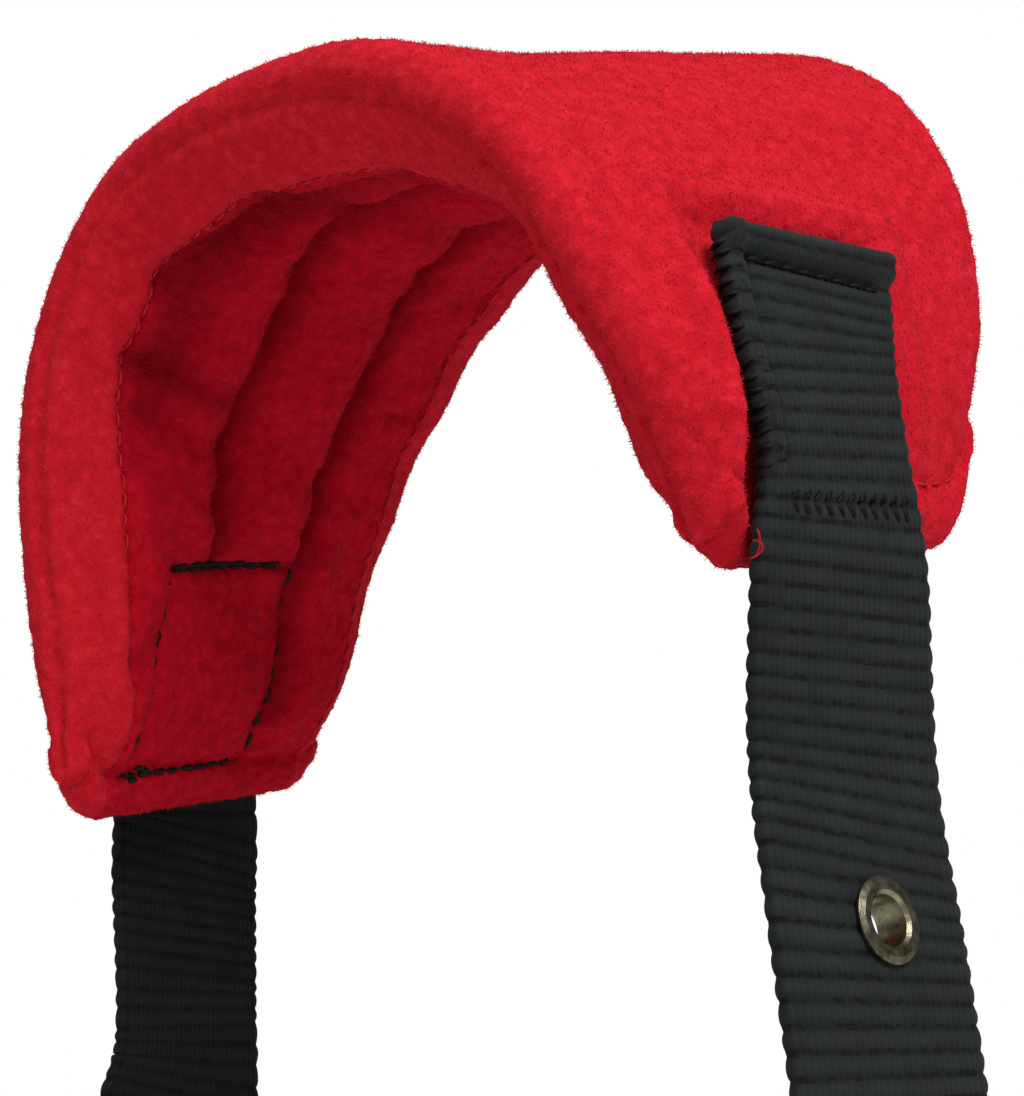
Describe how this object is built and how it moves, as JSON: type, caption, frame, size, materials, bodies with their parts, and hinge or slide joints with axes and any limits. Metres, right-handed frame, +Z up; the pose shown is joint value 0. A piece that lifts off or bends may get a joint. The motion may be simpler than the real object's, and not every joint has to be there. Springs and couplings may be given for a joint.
{
  "type": "head halter",
  "caption": "Dog head halter: padded fleece crown band on a buckled webbing neck strap, with a throat ring, a lead ring and a padded nose loop.",
  "frame": {"origin": "middle of the neck opening, between the two legs of the crown band", "axes": "+Z up to the top of the crown band, +X to the side with the eyelets, -Y towards the dog's nose"},
  "size_m": [0.1237, 0.0612, 0.2952],
  "materials": {
    "red_fleece": "brushed polyester fleece",
    "red_lining": "brushed polyester fleece lining",
    "foam": "open-cell polyurethane foam",
    "black_webbing": "ribbed nylon webbing",
    "dark_nickel": "aged nickel plate on pressed brass",
    "steel_wire": "nickel plated steel wire",
    "black_acetal": "moulded acetal"
  },
  "bodies": {
    "halter": {"pad_cover": "red_fleece", "pad_lining": "red_lining", "foam_near": "foam", "foam_middle": "foam", "foam_far": "foam", "strap_buckle": "black_webbing", "strap_holes": "black_webbing", "eyelets": "dark_nickel", "eyelet_washers": "dark_nickel", "buckle_frame": "steel_wire", "fixed_keeper": "black_webbing"},
    "roller": {"buckle_roller": "steel_wire"},
    "tongue": {"buckle_tongue": "steel_wire"},
    "tail_keeper": {"sliding_keeper": "black_webbing"},
    "throat_ring": {"throat_ring": "steel_wire"},
    "lead_ring": {"lead_ring": "steel_wire"},
    "nose_loop": {"nose_strap": "black_webbing", "nose_sleeve": "red_fleece"},
    "nose_slide": {"nose_slide": "black_acetal"}
  },
  "joints": [
    {"name": "roller_spin", "type": "hinge", "parent": "halter", "child": "roller", "pos_m": [-0.01286, 0, -0.08285], "axis": [0, 1, 0], "continuous": true},
    {"name": "tongue_lift", "type": "hinge", "parent": "halter", "child": "tongue", "pos_m": [-0.027, 0, -0.066], "axis": [0, 1, 0], "range_deg": [0, 9]},
    {"name": "keeper_slide", "type": "slide", "parent": "halter", "child": "tail_keeper", "axis": [0.6428, 0, -0.766], "range_m": [-0.0045, 0.0045]},
    {"name": "throat_ring_swing", "type": "hinge", "parent": "halter", "child": "throat_ring", "pos_m": [0.012, 0, -0.08502], "axis": [0, 1, 0], "range_deg": [-25, 25]},
    {"name": "lead_ring_swing", "type": "hinge", "parent": "throat_ring", "child": "lead_ring", "pos_m": [0.012, 0.008, -0.09902], "axis": [0, 1, 0], "range_deg": [-35, 35]},
    {"name": "nose_loop_swing", "type": "hinge", "parent": "throat_ring", "child": "nose_loop", "pos_m": [0.012, -0.003, -0.09902], "axis": [0, 1, 0], "range_deg": [-35, 35]},
    {"name": "nose_slide_travel", "type": "slide", "parent": "nose_loop", "child": "nose_slide", "axis": [0, 0, -1], "range_m": [-0.003, 0.006]}
  ]
}
